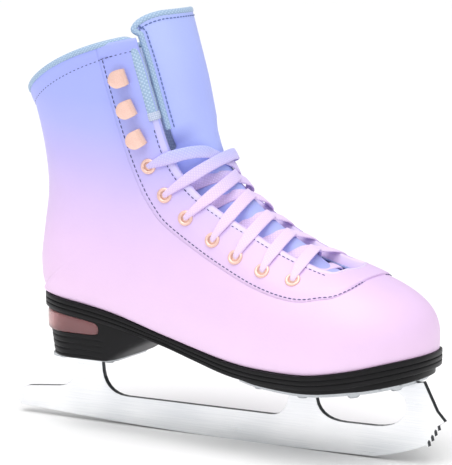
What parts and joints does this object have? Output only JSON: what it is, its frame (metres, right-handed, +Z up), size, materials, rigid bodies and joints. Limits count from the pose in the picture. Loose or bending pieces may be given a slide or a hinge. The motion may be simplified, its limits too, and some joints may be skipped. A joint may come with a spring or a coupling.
{
  "type": "figure skate",
  "caption": "Lace-up figure skate: padded ankle-high boot on a heeled sole, with a steel blade on two screwed plates and a tongue that folds forward.",
  "frame": {"origin": "the blade's lowest point in Z, the middle of the blade's length in X and the blade's middle plane in Y", "axes": "+X forwards to the toe, +Y to the inner side of the foot, +Z up"},
  "size_m": [0.28, 0.092, 0.2445],
  "materials": {
    "blade_steel": "ground and finely brushed",
    "plate_steel": "rolled, with softened edges",
    "screw_steel": "satin",
    "sole_black": "semi-gloss lacquered",
    "window_rose": "clear, tinted rose",
    "core_rose": "satin",
    "shank_steel": "plain",
    "board": "pressed fibre, matt",
    "footbed_fabric": "knitted, matt",
    "boot_leather": "smooth grain, periwinkle at the top fading to pink below, soft sheen",
    "facing_leather": "smooth grain, soft sheen",
    "stay_leather": "smooth grain, soft sheen",
    "stiffener": "moulded, matt",
    "foam": "open foam, matt",
    "lining_fabric": "brushed knit, matt",
    "binding_fabric": "woven tape",
    "tongue_leather": "smooth grain, soft sheen",
    "lace_fabric": "flat braid, slight sheen",
    "aglet_plastic": "clear film",
    "rose_metal": "rose-coloured lacquer, satin",
    "eyelet_metal": "rose-coloured lacquer, satin"
  },
  "bodies": {
    "boot": {"blade_runner": "blade_steel", "heel_plate": "plate_steel", "sole_plate": "plate_steel", "heel_plate_screws": "screw_steel", "sole_plate_screws": "screw_steel", "outsole": "sole_black", "forepart_pad": "sole_black", "heel_block": "sole_black", "heel_window": "window_rose", "heel_core": "core_rose", "shank": "shank_steel", "insole_board": "board", "footbed": "footbed_fabric", "upper": "boot_leather", "facing": "facing_leather", "back_stay": "stay_leather", "facing_stiffener": "stiffener", "toe_box": "stiffener", "heel_counter": "stiffener", "ankle_pad_outer": "foam", "ankle_pad_inner": "foam", "collar_foam": "foam", "lining": "lining_fabric", "collar_binding": "binding_fabric", "tongue_base_leather": "tongue_leather", "tongue_base_foam": "foam", "tongue_base_lining": "lining_fabric", "lace": "lace_fabric", "aglets": "aglet_plastic", "hook_rivets": "rose_metal", "hook_outer_1": "rose_metal", "hook_outer_2": "rose_metal", "hook_outer_3": "rose_metal", "hook_inner_1": "rose_metal", "hook_inner_2": "rose_metal", "hook_inner_3": "rose_metal", "eyelet_outer_1": "eyelet_metal", "eyelet_outer_2": "eyelet_metal", "eyelet_outer_3": "eyelet_metal", "eyelet_outer_4": "eyelet_metal", "eyelet_outer_5": "eyelet_metal", "eyelet_outer_6": "eyelet_metal", "eyelet_outer_7": "eyelet_metal", "eyelet_inner_1": "eyelet_metal", "eyelet_inner_2": "eyelet_metal", "eyelet_inner_3": "eyelet_metal", "eyelet_inner_4": "eyelet_metal", "eyelet_inner_5": "eyelet_metal", "eyelet_inner_6": "eyelet_metal", "eyelet_inner_7": "eyelet_metal"},
    "tongue_top": {"tongue_top_leather": "tongue_leather", "tongue_top_foam": "foam", "tongue_top_lining": "lining_fabric", "tongue_binding": "binding_fabric"}
  },
  "joints": [
    {"name": "tongue_fold", "type": "hinge", "parent": "boot", "child": "tongue_top", "pos_m": [-0.015, 0, 0.178], "axis": [0, 1, 0], "range_deg": [0, 35]}
  ]
}
